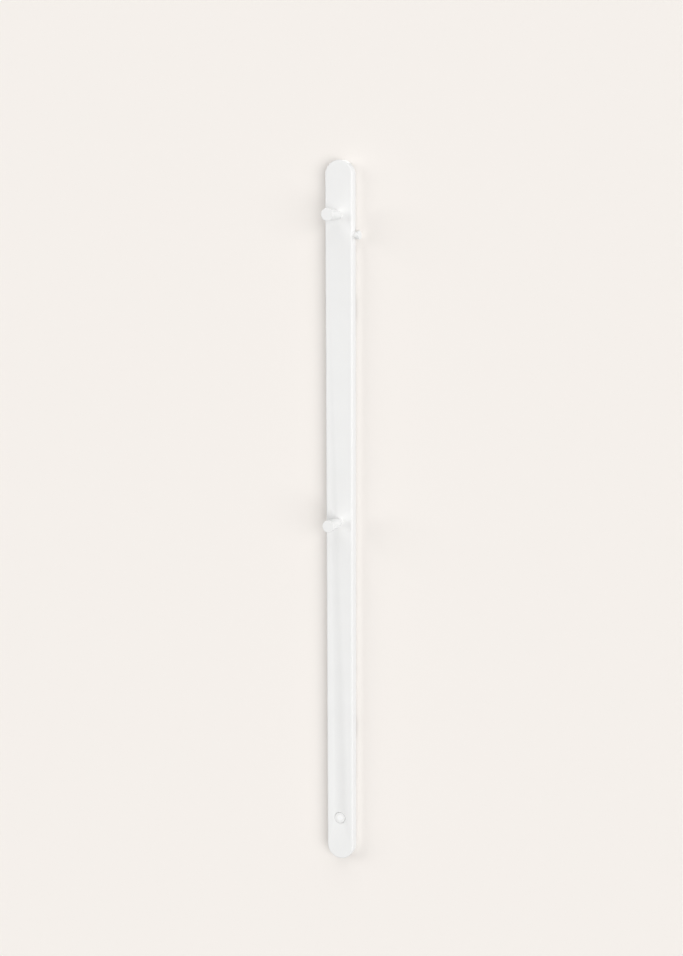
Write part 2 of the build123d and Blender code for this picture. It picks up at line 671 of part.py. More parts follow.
def terminal_bracket():
    """A folded steel tray that hangs the terminal block behind the wiring window."""
    half = WINDOW_HEIGHT / 2 + 2
    foot = 8.5
    tray = TRAY_DEPTH
    metal = TRAY_METAL
    points = [
        (-half - foot, PLATE_DEPTH),
        (-half, PLATE_DEPTH),
        (-half, tray + metal),
        (half, tray + metal),
        (half, PLATE_DEPTH),
        (half + foot, PLATE_DEPTH),
        (half + foot, PLATE_DEPTH - metal),
        (half + metal, PLATE_DEPTH - metal),
        (half + metal, tray),
        (-half - metal, tray),
        (-half - metal, PLATE_DEPTH - metal),
        (-half - foot, PLATE_DEPTH - metal),
    ]
    width = 24.0
    plane = Plane(origin=(-width / 2, FRONT_Y, TERMINAL_Z), x_dir=(0, 0, 1), z_dir=(1, 0, 0))
    # Local y of that plane points towards the front, so the depths are turned round.
    outline = Polyline(*[(z, -depth) for z, depth in points], close=True)
    bracket = extrude(plane * make_face(outline), width)
    for side in (-1, 1):
        z = TERMINAL_Z + side * COVER_SCREW_OFFSET
        bracket -= disc(0, z, PLATE_SCREW_RADIUS + SCREW_CLEARANCE, PLATE_DEPTH - metal, PLATE_DEPTH)
        web = TERMINAL_Z + side * (half + metal / 2)
        bracket -= block(0, web, 20, 3 * metal, LEAD_DEPTH - 1.6, LEAD_DEPTH + 1.6)
    return bracket


def terminal_poles():
    return [n * TERMINAL_PITCH for n in (-1, 0, 1)]


def terminal_block():
    """The three-pole screw terminal, with wire holes up and down and its screws towards the wall."""
    low, high = TERMINAL_Z - 6, TERMINAL_Z + 12
    middle = (low + high) / 2
    slot_depth, well_depth, entry = 2.0, 4.0, 7.0
    body = block(0, middle, 22, high - low, TRAY_DEPTH + TRAY_METAL, TERMINAL_BACK, corner=0.6)
    for side in (-1, 1):
        x = side * TERMINAL_PITCH / 2
        body -= block(x, middle, 0.8, high - low, TERMINAL_BACK - slot_depth, TERMINAL_BACK)
    for x in terminal_poles():
        body -= rod(x, LEAD_DEPTH, LEAD_RADIUS + 0.3, low, low + entry)
        body -= rod(x, LEAD_DEPTH, LEAD_RADIUS + 0.3, high - entry, high)
        for z in (low + 4.5, high - 4.5):
            body -= disc(x, z, 1.8, TERMINAL_BACK - well_depth, TERMINAL_BACK)
    return body


def terminal_screws():
    screws = []
    for x in terminal_poles():
        for z in (TERMINAL_Z - 1.5, TERMINAL_Z + 7.5):
            screw = disc(x, z, 1.65, TERMINAL_BACK - 4, TERMINAL_BACK - 1.4)
            screws.append(screw - block(x, z, 3.4, 0.6, TERMINAL_BACK - 2.2, TERMINAL_BACK - 1.4))
    return group(screws)


def terminal_cover():
    """The cover over the wiring window, with the cable hole in its lower half."""
    cover = block(0, TERMINAL_Z, COVER_WIDTH, COVER_HEIGHT, BAR_DEPTH, COVER_BACK, corner=5)
    cover = chamfer(front_edges(cover, COVER_BACK), 0.3)
    cover -= disc(0, GROMMET_Z, GROMMET_NECK_RADIUS, BAR_DEPTH, COVER_BACK)
    for side in (-1, 1):
        z = TERMINAL_Z + side * COVER_SCREW_OFFSET
        cover -= disc(0, z, PLATE_SCREW_RADIUS + SCREW_CLEARANCE, BAR_DEPTH, COVER_BACK)
    return cover


def terminal_cover_screws():
    places = [TERMINAL_Z + side * COVER_SCREW_OFFSET for side in (-1, 1)]
    return group(pan_screw(0, z, COVER_BACK, 2.8, 1.7, PLATE_SCREW_RADIUS, 15.6) for z in places)


def cable_grommet():
    """The rubber grommet that lines the cable hole, gripping the cover's edge in its groove."""
    front, back = BAR_DEPTH - 1.4, BAR_DEPTH + 2.9
    lip, neck = GROMMET_LIP_RADIUS, GROMMET_NECK_RADIUS
    points = [
        (GROMMET_BORE_RADIUS, front),
        (lip - 0.6, front),
        (lip, front + 0.5),
        (lip, BAR_DEPTH),
        (neck, BAR_DEPTH),
        (neck, COVER_BACK),
        (lip, COVER_BACK),
        (lip, back - 0.6),
        (lip - 0.8, back),
        (GROMMET_BORE_RADIUS, back),
    ]
    return turned(points, 0, GROMMET_Z)


def earth_tag():
    """The ring tag under the earth screw, with its crimp pointing down."""
    x, z = EARTH_PLACE
    near = PLATE_DEPTH - EARTH_TAG_METAL
    tag = slab(Pos(x, z) * Circle(4) + Pos(x, z - 5) * Rectangle(3, 6), near, PLATE_DEPTH)
    tag -= disc(x, z, EARTH_SCREW_RADIUS + 0.1, near, PLATE_DEPTH)
    barrel = rod(x, EARTH_BARREL_DEPTH, EARTH_BARREL_RADIUS, z - 13, z - 7)
    return tag + barrel


def earth_screw():
    """The earth screw: its head clamps the tag, and its shank is tapped into the back plate."""
    x, z = EARTH_PLACE
    seat = PLATE_DEPTH - EARTH_TAG_METAL
    top = seat - 2.4
    head_radius, edge = 3.8, 0.8
    points = [
        (0, top),
        (head_radius - edge, top),
        (head_radius, top + edge),
        (head_radius, seat),
        (EARTH_SCREW_RADIUS, seat),
        (EARTH_SCREW_RADIUS, BAR_DEPTH),
        (0, BAR_DEPTH),
    ]
    slot = block(x, z, 2 * head_radius + 0.4, 0.9, top, top + 1)
    return turned(points, x, z) - slot


def supply_leads():
    """Live and neutral, from the terminal block down to the board's connector."""
    end = BOARD_TOP - 6
    start = TERMINAL_Z + 1
    leads = []
    for pole, way in ((-TERMINAL_PITCH, CONNECTOR_POLES[1]), (0, CONNECTOR_POLES[2])):
        points = [
            (pole, LEAD_DEPTH, start),
            (pole, LEAD_DEPTH, start - 36),
            (way, LEAD_DEPTH, end + 14),
            (way, LEAD_DEPTH, end),
        ]
        leads.append(lead(points, LEAD_RADIUS))
    return group(leads)


def heater_leads():
    """The two leads from the board's connector to the cold joints."""
    end = BOARD_TOP - 6
    leads = []
    for way, side in ((CONNECTOR_POLES[0], -1), (CONNECTOR_POLES[3], 1)):
        points = [
            (way, LEAD_DEPTH, end),
            (way, LEAD_DEPTH, end + 14),
            (side * CABLE_RUN_X, CABLE_DEPTH, LOOP_END - 12),
            (side * CABLE_RUN_X, CABLE_DEPTH, LOOP_END),
        ]
        leads.append(lead(points, LEAD_RADIUS))
    return group(leads)


def earth_lead():
    """The earth wire, from the terminal block up to the tag on the back plate."""
    x, z = EARTH_PLACE
    points = [
        (x, LEAD_DEPTH, TERMINAL_Z + 5),
        (x, LEAD_DEPTH, z - 29),
        (x, EARTH_BARREL_DEPTH, z - 19),
        (x, EARTH_BARREL_DEPTH, z - 13),
    ]
    return lead(points, LEAD_RADIUS)


def wall_bracket(z):
    """A steel wall plate with one hook, lanced out of it and folded up behind the back plate."""
    seat = z + HOOK_SEAT
    metal = BRACKET_METAL
    wall = BAR_DEPTH + WALL_GAP
    plate = block(0, z, BRACKET_WIDTH, BRACKET_HEIGHT, wall - metal, wall, corner=4)
    lance_low, lance_high = seat - metal - 1, seat + HOOK_LIP + 6
    lance = block(0, (lance_low + lance_high) / 2, HOOK_WIDTH + 2, lance_high - lance_low, wall - metal, wall)
    plate -= lance
    for side in (-1, 1):
        plate -= disc(side * WALL_SCREW_SPACING / 2, z, WALL_SCREW_HOLE_RADIUS, wall - metal, wall)
    middle = seat - metal / 2
    path = FilletPolyline(
        (0, -metal / 2, seat - 7),
        (0, -metal / 2, middle),
        (0, HOOK_LIP_Y, middle),
        (0, HOOK_LIP_Y, seat + HOOK_LIP),
        radius=metal,
    )
    section = Plane(origin=path @ 0, x_dir=(1, 0, 0), z_dir=(0, 0, 1)) * Rectangle(HOOK_WIDTH, metal)
    return plate + sweep(section, path=path)


PARTS = {
    "body_shell": body_shell,
    "back_plate": back_plate,
    "back_plate_screws": back_plate_screws,
    "upper_peg": lambda: peg(UPPER_PEG_Z),
    "middle_peg": lambda: peg(MIDDLE_PEG_Z),
    "side_peg": side_peg,
    "peg_backing_plates": peg_backing_plates,
    "upper_peg_screw": lambda: peg_screw(UPPER_PEG_Z),
    "middle_peg_screw": lambda: peg_screw(MIDDLE_PEG_Z),
    "side_peg_screw": side_peg_screw,
    "heat_spreader": heat_spreader,
    "heating_cable": heating_cable,
    "cable_clips": cable_clips,
    "cold_joints": cold_joints,
    "insulation_strip": insulation_strip,
    "button_cap": button_cap,
    "button_lens": button_lens,
    "button_housing": button_housing,
    "button_housing_screws": button_housing_screws,
    "button_spring": button_spring,
    "switch_body": switch_body,
    "switch_plunger": switch_plunger,
    "control_board": control_board,
    "board_standoffs": board_standoffs,
    "board_screws": board_screws,
    "board_insulator": board_insulator,
    "power_relay": power_relay,
    "power_supply": power_supply,
    "smoothing_capacitor": smoothing_capacitor,
    "board_fuse": board_fuse,
    "fuse_clips": fuse_clips,
    "indicator_leds": indicator_leds,
    "board_connector": board_connector,
    "temperature_sensor": temperature_sensor,
    "thermal_cutout": thermal_cutout,
    "cutout_clip": cutout_clip,
    "terminal_bracket": terminal_bracket,
    "terminal_block": terminal_block,
    "terminal_screws": terminal_screws,
    "terminal_cover": terminal_cover,
    "terminal_cover_screws": terminal_cover_screws,
    "cable_grommet": cable_grommet,
    "earth_tag": earth_tag,
    "earth_screw": earth_screw,
    "supply_leads": supply_leads,
    "heater_leads": heater_leads,
    "earth_lead": earth_lead,
    "upper_wall_bracket": lambda: wall_bracket(BRACKET_HEIGHTS[0]),
    "lower_wall_bracket": lambda: wall_bracket(BRACKET_HEIGHTS[1]),
}

os.makedirs("parts", exist_ok=True)
for name, build in PARTS.items():
    export_step(build(), f"parts/{name}.step")
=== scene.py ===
import json
import math

import bmesh
import bpy
import numpy as np
from mathutils import Matrix, Vector
from mathutils.geometry import tessellate_polygon


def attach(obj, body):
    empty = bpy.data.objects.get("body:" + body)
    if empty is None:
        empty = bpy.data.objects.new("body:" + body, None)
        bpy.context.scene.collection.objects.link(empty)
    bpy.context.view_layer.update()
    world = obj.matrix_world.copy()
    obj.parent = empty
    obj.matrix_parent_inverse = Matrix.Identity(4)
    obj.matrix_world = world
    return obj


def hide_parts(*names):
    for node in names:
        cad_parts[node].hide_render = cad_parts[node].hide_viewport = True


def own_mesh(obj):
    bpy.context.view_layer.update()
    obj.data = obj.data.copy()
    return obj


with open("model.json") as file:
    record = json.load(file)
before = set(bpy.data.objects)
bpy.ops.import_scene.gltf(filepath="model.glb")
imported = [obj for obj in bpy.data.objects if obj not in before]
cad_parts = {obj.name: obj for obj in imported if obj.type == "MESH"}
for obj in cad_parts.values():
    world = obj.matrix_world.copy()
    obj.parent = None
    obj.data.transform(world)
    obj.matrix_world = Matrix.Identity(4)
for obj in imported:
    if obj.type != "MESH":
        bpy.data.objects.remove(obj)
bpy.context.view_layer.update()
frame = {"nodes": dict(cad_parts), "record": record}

MM = 0.001

# Sizes of the real bar, in millimetres. Depth is measured from the front face towards the wall.
BAR_HEIGHT = 1500.0
BAR_WIDTH = 60.0
BAR_DEPTH = 20.0
WALL_GAP = 4.0
FRONT_Y = -(BAR_DEPTH + WALL_GAP)
SHELL_WALL = 1.8
FRONT_EDGE_RADIUS = 3.5
BACK_EDGE_RADIUS = 0.35
BACK_REBATE = 0.9
BACK_PLATE = 1.5
PLATE_SEAT = BAR_DEPTH - BACK_PLATE
COVER_FACE = BAR_DEPTH + 1.25

PEG_LENGTH = 60.0
PEG_ROOT_RADIUS = 8.2
PEG_HEAD_RADIUS = 13.1
PEG_RIM_RADIUS = 1.2
SIDE_PEG_LENGTH = 14.0
SIDE_PEG_ROOT_RADIUS = 6.2
SIDE_PEG_HEAD_RADIUS = 9.3
SIDE_PEG_RIM_RADIUS = 0.9
UPPER_PEG_Z = 639.0
MIDDLE_PEG_Z = 0.0
SIDE_PEG_Z = 598.0

BUTTON_Z = -656.6
BUTTON_RADIUS = 12.1
BUTTON_GAP = 0.6
BUTTON_PROUD = 0.6
SKIRT_RELIEF = 0.3
LENS_RADIUS = 7.0
LENS_CLEARANCE = 0.05
LENS_SEAT = 1.0
SPRING_RADIUS = 6.0
SPRING_WIRE_RADIUS = 0.4
SPRING_TURNS = 3.5
SPRING_FRONT = 2.5
SPRING_BACK = 8.1

CLOSING_SCREW_X = 25.2
CLOSING_SCREW_ROWS = (-690.0, -230.0, 230.0, 690.0)
COVER_Z = -540.0
COVER_SCREW_OFFSET = 33.5
SCREW_HEAD_RADIUS = 2.8
SCREW_SHANK_RADIUS = 1.5
SCREW_POINT = 0.5
CROSS_DEPTH = 0.9
GROMMET_Z = -554.0

# The cross in a screw head, in head radii: half an arm's width, its reach, and how far their edges slope.
CROSS_ARM = 0.17
CROSS_ARM_SLOPE = 0.08
CROSS_REACH = 0.62
CROSS_REACH_SLOPE = 0.1

# Eased edges, in millimetres: how far each point lies out from a radius and along from a face.
MOUTH_EDGE = ((0.2, 0.0), (0.06, 0.06), (0.0, 0.2))
PEG_FOOT = ((0.35, 0.0), (0.1, 0.12), (0.0, 0.4))
POCKET_EDGE = ((0.45, 0.0), (0.2, 0.0), (0.05, 0.08), (0.0, 0.3))
LENS_EDGE = ((0.0, 0.35), (-0.12, 0.08))
LENS_DIMPLE = ((0.75, 0.05), (0.6, 0.3), (0.0, 0.35))

# How finely the new surfaces are divided. A ring at BEND_MARGIN beside a bend keeps the flats flat.
BEND_MARGIN = 0.4
SMOOTH_ANGLE = 30.0
STADIUM_END_STEPS = 49
TURNED_SEGMENTS = 96
SCREW_SEGMENTS = 48
GROMMET_SEGMENTS = 72

# Where a pattern's lower and upper shade are reached, on its scale from 0 to 1.
SHADE_STOPS = (0.3, 0.7)
COAT_ROUGHNESS = 0.12

# Each lamp's azimuth and elevation in degrees, its share of full white, and its width in degrees.
LAMPS = {
    "key": (46, -3, 0.57, 46),
    "fill": (-58, 14, 0.30, 40),
    "behind": (-152, 15, 0.30, 30),
    "right_rim": (125, 10, 0.33, 40),
    "left_rim": (-108, 10, 0.15, 40),
    "ceiling": (15, 60, 0.25, 60),
    "low": (20, -45, 0.12, 60),
}

# The world's strength as light on the bar, and as the backdrop that the camera and reflections see.
ROOM_LIGHT = 0.23
BACKDROP_LIGHT = 1.0

# The stage, in metres: the wall just behind the brackets, and the floor well below the bar.
WALL_Y = 0.0004
WALL_TOP = 4.0
FLOOR_Z = -1.35
STAGE_HALF_WIDTH = 5.0

# The photograph's viewpoint, worked out from the bar's edges. The frame is 683 by 956 pixels.
IMAGE_HEIGHT = 956
FOCAL_PIXELS = 1503.9
CAMERA_PLACE = (1.2033, -2.9079, 0.5868)
CAMERA_AZIMUTH = 22.553
CAMERA_PITCH = 8.967
CAMERA_ROLL = -0.134
SENSOR = 36.0


# Shapes

def arc(centre, radius, start, end, steps):
    """Points on a circle from one angle to another, in degrees."""
    angles = np.radians(np.linspace(start, end, steps))
    return np.stack([centre[0] + radius * np.cos(angles), centre[1] + radius * np.sin(angles)], axis=1)


def eased(radius, level, edge):
    """The points of an eased edge, moved out to a radius and along to a level."""
    return np.add(edge, (radius, level))


def make_object(name, points, face_groups):
    """A mesh object at the origin, in metres from millimetres, its faces turned outwards.

    Each group is an array of triangles or of four-cornered faces. The sign of the enclosed volume, summed
    over the triangles, tells whether they all have to be turned round.
    """
    volume = 0.0
    for group in face_groups:
        corners = points[group]
        for second in range(1, group.shape[1] - 1):
            across = np.cross(corners[:, second], corners[:, second + 1])
            volume += float((corners[:, 0] * across).sum())
    faces = []
    for group in face_groups:
        faces += (group if volume > 0 else group[:, ::-1]).tolist()
    mesh = bpy.data.meshes.new(name)
    mesh.from_pydata((points * MM).tolist(), [], faces)
    mesh.polygons.foreach_set("use_smooth", np.ones(len(mesh.polygons), bool))
    mesh.set_sharp_from_angle(angle=math.radians(SMOOTH_ANGLE))
    mesh.update()
    piece = bpy.data.objects.new(name, mesh)
    bpy.context.collection.objects.link(piece)
    return piece


def band_faces(rings, count, first=0):
    """Four-cornered faces between neighbouring rings of count points each, closed round each ring."""
    row = np.arange(rings - 1)[:, None] * count
    column = np.arange(count)[None, :]
    following = (column + 1) % count
    quads = np.stack([row + column, row + following, row + count + following, row + count + column], axis=-1)
    return quads.reshape(-1, 4) + first


def closed_stack(rings, first_pole, last_pole):
    """Rings of points joined into one skin, closed at each end by a fan of triangles to a pole point."""
    number, count = rings.shape[:2]
    column = np.arange(count)
    following = (column + 1) % count
    last = (number - 1) * count
    first_fan = np.stack([np.full(count, number * count), following, column], axis=1)
    last_fan = np.stack([np.full(count, number * count + 1), last + column, last + following], axis=1)
    points = np.concatenate([rings.reshape(-1, 3), [first_pole], [last_pole]])
    return points, [band_faces(number, count), first_fan, last_fan]


def swept_rings(profile, segments):
    """Each (radius, height) point of a profile carried round the axis by cosine and sine."""
    angle = np.linspace(0, 2 * math.pi, segments, endpoint=False)
    u = profile[:, :1] * np.cos(angle)
    v = profile[:, :1] * np.sin(angle)
    return np.stack([u, v, np.broadcast_to(profile[:, 1:], u.shape)], axis=-1)


def turned(profile):
    """A turned solid: the profile swept round the axis, its first and last points on the axis as poles."""
    rings = swept_rings(profile[1:-1], TURNED_SEGMENTS)
    return closed_stack(rings, (0, 0, profile[0, 1]), (0, 0, profile[-1, 1]))


def facing_front(points, x, z):
    """Puts a turned shape's axis square to the front face: its height is depth from the face."""
    return np.stack([points[:, 0] + x, points[:, 2] + FRONT_Y, points[:, 1] + z], axis=1)


def facing_right(points, y, z):
    """Puts a turned shape's axis along x: its height is the distance out of the bar's right side."""
    return np.stack([points[:, 2] + BAR_WIDTH / 2, points[:, 0] + y, points[:, 1] + z], axis=1)


def stadium_ring(inset, depth):
    """The bar's outline moved in by inset: two half circles joined by straight sides."""
    radius = BAR_WIDTH / 2 - inset
    straight = BAR_HEIGHT / 2 - BAR_WIDTH / 2
    top = arc((0, straight), radius, 0, 180, STADIUM_END_STEPS)
    bottom = arc((0, -straight), radius, 180, 360, STADIUM_END_STEPS)
    outline = np.concatenate([top, bottom])
    return np.stack([outline[:, 0], np.full(len(outline), FRONT_Y + depth), outline[:, 1]], axis=1)


def mouth_ring(radius, depth):
    """A circle round the button's axis at one depth."""
    circle = arc((0, BUTTON_Z), radius, 0, 360 - 360 / TURNED_SEGMENTS, TURNED_SEGMENTS)
    return np.stack([circle[:, 0], np.full(len(circle), FRONT_Y + depth), circle[:, 1]], axis=1)


def holed_flat(outer, hole, outer_first, hole_first):
    """Triangles that fill between an outline and a hole in it, as indices into the whole shape."""
    flat = [np.insert(ring[:, [0, 2]], 2, 0.0, axis=1).tolist() for ring in (outer, hole)]
    index = np.concatenate([np.arange(len(outer)) + outer_first, np.arange(len(hole)) + hole_first])
    return index[np.array(tessellate_polygon(flat))]


def face_outwards(piece):
    """Makes every face agree with its neighbours and point outwards."""
    shape = bmesh.new()
    shape.from_mesh(piece.data)
    bmesh.ops.recalc_face_normals(shape, faces=shape.faces)
    shape.to_mesh(piece.data)
    shape.free()
    piece.data.update()


def bar_body():
    """The visible tray: its section carried round the stadium, with flat faces pierced by the button's mouth.

    The section runs from the front flat over the rounded edge, down the side, round the rebate at the back
    and up the inside to the inner flat.
    """
    edge = FRONT_EDGE_RADIUS
    inner_edge = edge - SHELL_WALL
    back_edge = BACK_EDGE_RADIUS
    back_edge_middle = 0.1
    section = np.concatenate([
        [(edge + BEND_MARGIN, 0.0)],
        arc((edge, edge), edge, 270, 180, steps=13),
        [(0.0, edge + BEND_MARGIN), (0.0, BAR_DEPTH - 2 * back_edge), (0.0, BAR_DEPTH - back_edge)],
        [(back_edge_middle, BAR_DEPTH - back_edge_middle), (back_edge, BAR_DEPTH)],
        [(BACK_REBATE, BAR_DEPTH), (BACK_REBATE, PLATE_SEAT)],
        [(SHELL_WALL, PLATE_SEAT), (SHELL_WALL, edge + BEND_MARGIN)],
        arc((SHELL_WALL + inner_edge, edge), inner_edge, 180, 270, steps=9),
        [(edge + BEND_MARGIN, SHELL_WALL)],
    ])
    rings = [stadium_ring(inset, depth) for inset, depth in section]
    mouth = BUTTON_RADIUS + BUTTON_GAP
    mouth_section = np.concatenate([eased(mouth, 0.0, MOUTH_EDGE), [(mouth, SHELL_WALL)]])
    mouth_rings = [mouth_ring(radius, depth) for radius, depth in mouth_section]
    count, segments = len(rings[0]), len(mouth_rings[0])
    inside_first = (len(rings) - 1) * count
    mouth_first = len(rings) * count
    mouth_last = mouth_first + (len(mouth_rings) - 1) * segments
    faces = [
        band_faces(len(rings), count),
        band_faces(len(mouth_rings), segments, mouth_first),
        holed_flat(rings[0], mouth_rings[0], 0, mouth_first),
        holed_flat(rings[-1], mouth_rings[-1], inside_first, mouth_last),
    ]
    piece = make_object("bar_body", np.concatenate(rings + mouth_rings), faces)
    face_outwards(piece)
    return piece


def flared_profile(length, root, head, rim):
    """Half section of a peg: eased foot, straight flare from root to head, rounded rim and flat end."""
    slope = math.degrees(math.atan2(head - root, length))
    rim_centre = head - rim
    return np.concatenate([
        [(0.0, 0.0), (root * 0.5, 0.0)],
        eased(root, 0.0, PEG_FOOT),
        [(root + (head - root) * 0.5, length * 0.5)],
        arc((rim_centre, length - rim), rim, -slope, 90, steps=12),
        [(rim_centre - BEND_MARGIN, length), (rim_centre * 0.5, length), (0.0, length)],
    ])


def front_peg(name, z):
    """A flared peg that stands out of the front face towards the viewer."""
    points, faces = turned(flared_profile(PEG_LENGTH, PEG_ROOT_RADIUS, PEG_HEAD_RADIUS, PEG_RIM_RADIUS))
    points = points * (1, 1, -1)
    return make_object(name, facing_front(points, 0, z), faces)


def short_side_peg():
    """The short flared peg on the right side, at the bar's mid depth."""
    profile = flared_profile(SIDE_PEG_LENGTH, SIDE_PEG_ROOT_RADIUS, SIDE_PEG_HEAD_RADIUS, SIDE_PEG_RIM_RADIUS)
    points, faces = turned(profile)
    return make_object("side_peg_turned", facing_right(points, FRONT_Y + BAR_DEPTH / 2, SIDE_PEG_Z), faces)


def push_button():
    """The button's half section turned: stem, skirt, retaining flange, rounded shoulder and lens pocket.

    In front of the flange the skirt is relieved a little, which opens the gap to the bar's mouth.
    """
    face = -BUTTON_PROUD
    stem, stem_end, stem_edge = 2.0, 9.7, 0.4
    cap_floor, skirt_inside, skirt_end = 2.4, 10.6, 5.2
    flange, flange_near, flange_far = 13.5, 2.3, 3.5
    relieved, relief_step = BUTTON_RADIUS - SKIRT_RELIEF, 0.1
    shoulder, margin = 0.4, 0.3
    pocket = LENS_RADIUS + LENS_CLEARANCE
    profile = np.concatenate([
        [(0, stem_end), (stem - stem_edge, stem_end), (stem, stem_end - stem_edge), (stem, cap_floor)],
        [(skirt_inside, cap_floor), (skirt_inside, skirt_end), (BUTTON_RADIUS, skirt_end)],
        [(BUTTON_RADIUS, flange_far), (flange, flange_far)],
        [(flange, flange_near), (BUTTON_RADIUS, flange_near)],
        [(relieved, flange_near - relief_step), (relieved, face + shoulder + margin)],
        arc((relieved - shoulder, face + shoulder), shoulder, 0, -90, steps=9),
        [(relieved - shoulder - margin, face)],
        eased(pocket, face, POCKET_EDGE),
        [(pocket, LENS_SEAT), (0, LENS_SEAT)],
    ])
    points, faces = turned(profile)
    return make_object("push_button", facing_front(points, 0, BUTTON_Z), faces)


def opal_disc():
    """The lens: a shallow dome whose height falls with the square of the radius, dimpled at its centre."""
    proud, dome_height = 0.1, 0.35
    dome_edge, dimple_edge = LENS_RADIUS - 0.35, 0.9
    face = -BUTTON_PROUD - proud
    radius = np.linspace(dome_edge, dimple_edge, num=12)
    dome = face - dome_height * (1 - (radius / LENS_RADIUS) ** 2)
    profile = np.concatenate([
        [(0, LENS_SEAT), (LENS_RADIUS * 0.6, LENS_SEAT), (LENS_RADIUS, LENS_SEAT)],
        eased(LENS_RADIUS, face, LENS_EDGE),
        np.stack([radius, dome], axis=1),
        eased(0, face - dome_height, LENS_DIMPLE),
    ])
    points, faces = turned(profile)
    return make_object("button_opal_disc", facing_front(points, 0, BUTTON_Z), faces)


def cross_head_screws(name, places, seat, rise, below):
    """Screws seen from behind: a head whose height field dips in a cross, on the rings given as below.

    Over the head the depth is seat + rise * (1 - r^2) less a cross-shaped dip, for r in head radii. Below it
    each (radius, depth) point adds a ring, down to the tip.
    """
    innermost, head_rings = 0.06, 14
    radii = np.linspace(innermost, 1.0, head_rings)
    unit = swept_rings(np.stack([radii, radii], axis=1), SCREW_SEGMENTS)
    u, v = unit[..., 0], unit[..., 1]
    arm = np.clip((CROSS_ARM - np.minimum(np.abs(u), np.abs(v))) / CROSS_ARM_SLOPE, 0, 1)
    reach = np.clip((CROSS_REACH - np.hypot(u, v)) / CROSS_REACH_SLOPE, 0, 1)
    depth = seat + rise * (1 - u ** 2 - v ** 2) - CROSS_DEPTH * arm * reach
    head = np.stack([u * SCREW_HEAD_RADIUS, v * SCREW_HEAD_RADIUS, depth], axis=-1)
    rings = np.concatenate([head, swept_rings(below, SCREW_SEGMENTS)])
    one, groups = closed_stack(rings, (0, 0, seat + rise - CROSS_DEPTH), (0, 0, below[-1][1]))
    points = np.concatenate([facing_front(one, x, z) for x, z in places])
    shift = np.arange(len(places))[:, None, None] * len(one)
    groups = [(group[None] + shift).reshape(-1, group.shape[1]) for group in groups]
    return make_object(name, points, groups)


def screw_shank(underside, start, tip):
    """A screw's (radius, depth) points below its head: the underside, a straight shank and a cut point."""
    shank = SCREW_SHANK_RADIUS
    return np.array([underside, (shank, start), (shank, tip + SCREW_POINT), (shank - SCREW_POINT, tip)])


def closing_screws():
    """The back plate's eight countersunk screws, their heads just below its outer face."""
    places = [(side * CLOSING_SCREW_X, z) for z in CLOSING_SCREW_ROWS for side in (-1, 1)]
    neck = (SCREW_SHANK_RADIUS + 0.15, PLATE_SEAT + 0.2)
    below = screw_shank(neck, PLATE_SEAT, tip=11.0)
    return cross_head_screws("closing_screws", places, seat=BAR_DEPTH - 0.12, rise=0.08, below=below)


def cover_screws():
    """The terminal cover's two pan-head screws, their heads standing on its outer face."""
    places = [(0, COVER_Z + side * COVER_SCREW_OFFSET) for side in (-1, 1)]
    below = screw_shank((SCREW_HEAD_RADIUS, COVER_FACE), COVER_FACE - 0.05, tip=15.6)
    return cross_head_screws("cover_screws", places, seat=BAR_DEPTH + 1.9, rise=0.9, below=below)


def rubber_grommet():
    """The grommet's section turned: two rounded lips either side of the cover, round a straight bore.

    The section is a closed loop, so the last ring of points is joined to the first.
    """
    front, back = BAR_DEPTH - 1.4, BAR_DEPTH + 2.9
    bore, waist, lip = 4.0, 6.3, 8.2
    groove_near, groove_far = BAR_DEPTH - 0.05, COVER_FACE
    front_round, back_round = 0.6, 1.0
    front_ease, back_ease = 0.25, 0.4
    front_flat = lip - 0.8
    section = np.concatenate([
        [(bore, front + front_ease), (bore + front_ease, front), (front_flat, front)],
        arc((lip - front_round, front + front_round), front_round, -60, 0, steps=5),
        [(lip, groove_near), (waist, groove_near), (waist, groove_far), (lip, groove_far)],
        arc((lip - back_round, back - back_round), back_round, 0, 80, steps=6),
        [(bore + back_ease, back), (bore + back_ease / 4, back - back_ease / 4), (bore, back - back_ease)],
    ])
    points = swept_rings(section, GROMMET_SEGMENTS).reshape(-1, 3)
    faces = band_faces(len(section) + 1, GROMMET_SEGMENTS) % len(points)
    return make_object("entry_grommet", facing_front(points, 0, GROMMET_Z), [faces])


def return_spring():
    """The button's coil spring: a circle of wire carried along a helix of three and a half turns.

    The helix is (R cos a, R sin a) with its depth growing evenly with a, and each ring of the wire lies
    across it, between the direction away from the axis and the one square to that and to the wire.
    """
    rings_along, wire_sides = 170, 14
    angle = np.linspace(0, SPRING_TURNS * 2 * math.pi, rings_along)[:, None]
    round_wire = np.linspace(0, 2 * math.pi, wire_sides, endpoint=False)[None, :]
    low, high = SPRING_FRONT + SPRING_WIRE_RADIUS, SPRING_BACK - SPRING_WIRE_RADIUS
    slope = math.atan2(high - low, SPRING_TURNS * 2 * math.pi * SPRING_RADIUS)
    away = SPRING_WIRE_RADIUS * np.cos(round_wire)
    across = SPRING_WIRE_RADIUS * np.sin(round_wire)
    along = -across * math.sin(slope)
    radius = SPRING_RADIUS + away
    u = radius * np.cos(angle) - along * np.sin(angle)
    v = radius * np.sin(angle) + along * np.cos(angle)
    w = low + (high - low) * angle / angle[-1] + across * math.cos(slope)
    rings = np.stack([u, v, w], axis=-1)
    points, faces = closed_stack(rings, rings[0].mean(axis=0), rings[-1].mean(axis=0))
    return make_object("return_spring", facing_front(points, 0, BUTTON_Z), faces)


# Materials

def paint(hex_colour):
    """A linear colour from an sRGB hex value."""
    channels = [int(hex_colour[i:i + 2], 16) / 255 for i in (0, 2, 4)]
    return [c / 12.92 if c <= 0.04045 else ((c + 0.055) / 1.055) ** 2.4 for c in channels] + [1.0]


